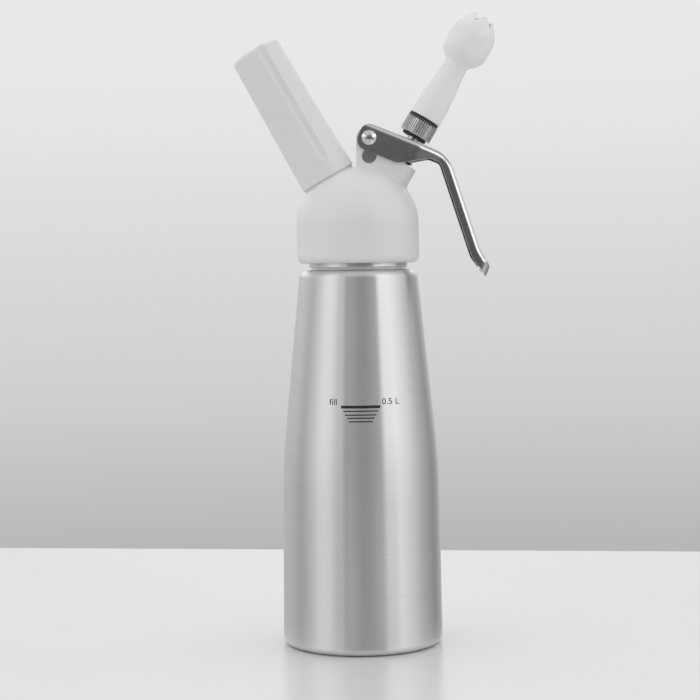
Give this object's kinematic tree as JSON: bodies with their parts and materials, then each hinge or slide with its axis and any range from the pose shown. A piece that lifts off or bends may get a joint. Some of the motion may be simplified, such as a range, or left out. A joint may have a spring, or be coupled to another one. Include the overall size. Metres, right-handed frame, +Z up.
{
  "type": "whipped cream dispenser",
  "caption": "Hand-held cream whipper: tapered metal bottle, screw-on white head with a charger holder, a squeeze lever and a tulip nozzle.",
  "frame": {"origin": "centre of the ring the bottle stands on, on the floor", "axes": "+Z up along the bottle, +X towards the nozzle and the lever, +Y away from a viewer who has the nozzle at the right"},
  "size_m": [0.1287, 0.0794, 0.3117],
  "materials": {
    "bottle": "fine brushed round the body",
    "moulded_plastic": "white, slightly translucent, satin",
    "thread_ring": "machined",
    "seals": "matt black",
    "brass": "nickel plated, machined",
    "stainless": "turned",
    "lever_steel": "polished, lightly brushed along the handle",
    "pins": "polished",
    "adapter_metal": "straight knurled, plated"
  },
  "bodies": {
    "bottle": {"bottle": "bottle"},
    "head": {"head_shell": "moulded_plastic", "head_thread_ring": "thread_ring", "head_gasket": "seals", "charger_inlet": "brass", "inlet_lock_nut": "brass", "inlet_check_sleeve": "seals", "inlet_gasket": "seals", "piercing_pin": "stainless", "valve_bush": "brass", "bush_seal": "seals", "bush_nut": "brass", "return_spring": "stainless", "lever_pin": "pins", "lever_pin_cap": "pins", "bracket_cross_pin": "pins"},
    "valve": {"valve_stem": "stainless", "valve_gasket": "seals", "valve_plate": "stainless", "stem_tail_nut": "stainless", "stem_o_ring": "seals", "spring_cap": "stainless", "adapter_washer": "seals", "nozzle_adapter": "adapter_metal", "nozzle_seal_ring": "seals"},
    "lever": {"lever": "lever_steel"},
    "holder": {"charger_holder": "moulded_plastic"},
    "nozzle": {"tulip_nozzle": "moulded_plastic"}
  },
  "joints": [
    {"name": "head_unscrew", "type": "slide", "parent": "bottle", "child": "head", "axis": [0, 0, 1], "range_m": [0, 0.045]},
    {"name": "holder_unscrew", "type": "slide", "parent": "head", "child": "holder", "axis": [-0.4894, 0, 0.8721], "range_m": [0, 0.085]},
    {"name": "lever_press", "type": "hinge", "parent": "head", "child": "lever", "pos_m": [0.006, 0, 0.25], "axis": [0, 1, 0], "range_deg": [0, 10], "stiffness_Nm_per_rad": 0.66, "springref_deg": -14.04},
    {"name": "valve_open", "type": "slide", "parent": "head", "child": "valve", "axis": [-0.515, 0, -0.8572], "range_m": [0, 0.0034], "deforming": ["return_spring"]},
    {"name": "nozzle_unscrew", "type": "slide", "parent": "valve", "child": "nozzle", "axis": [0.515, 0, 0.8572], "range_m": [0, 0.035]}
  ],
  "couplings": [
    {"joint": "valve_open", "follows": "lever_press", "m_per_rad": 0.0187}
  ]
}
